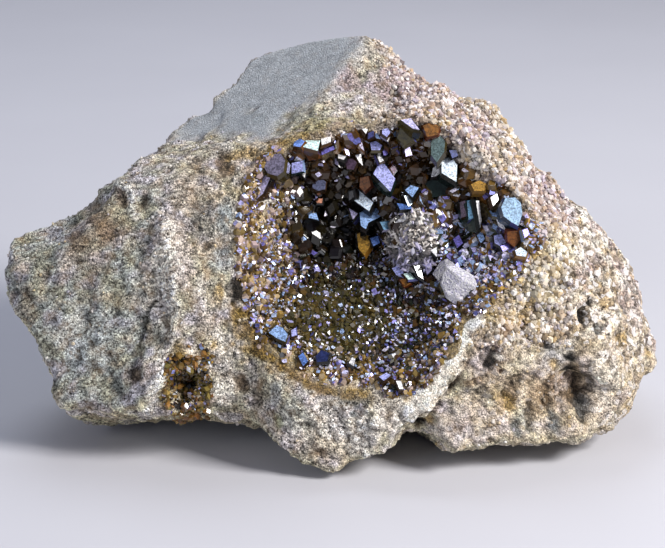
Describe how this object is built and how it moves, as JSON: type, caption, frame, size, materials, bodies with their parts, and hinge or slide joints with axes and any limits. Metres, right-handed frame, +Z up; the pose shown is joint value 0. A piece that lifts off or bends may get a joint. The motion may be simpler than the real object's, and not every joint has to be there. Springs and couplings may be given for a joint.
{
  "type": "andradite garnet specimen",
  "caption": "Palm-sized mineral specimen: pale host rock with a front hollow lined with dark garnet crystals, resting on its broken base.",
  "frame": {"origin": "on the resting surface, under the middle of the stone's bounding box", "axes": "+Z up, the garnet hollow faces -Y and 20 degrees upwards, +X to the right as one looks into the hollow"},
  "size_m": [0.0853, 0.0504, 0.0487],
  "materials": {
    "host_rock": "rough broken skarn rock, beige to grey-green, with fine sparkling grains and rusty stains",
    "garnet": "glossy andradite garnet, dark brown and olive, with lavender, steel-blue and white reflections from its faces",
    "quartz": "pale lavender, translucent and glassy",
    "white_druse": "sugary off-white druse of tiny crystals"
  },
  "bodies": {
    "root": {"host_rock": "host_rock", "garnet_crust": "garnet", "pocket_garnet_crust": "garnet", "quartz_crystal": "quartz", "white_druse_knob": "white_druse"}
  },
  "joints": []
}
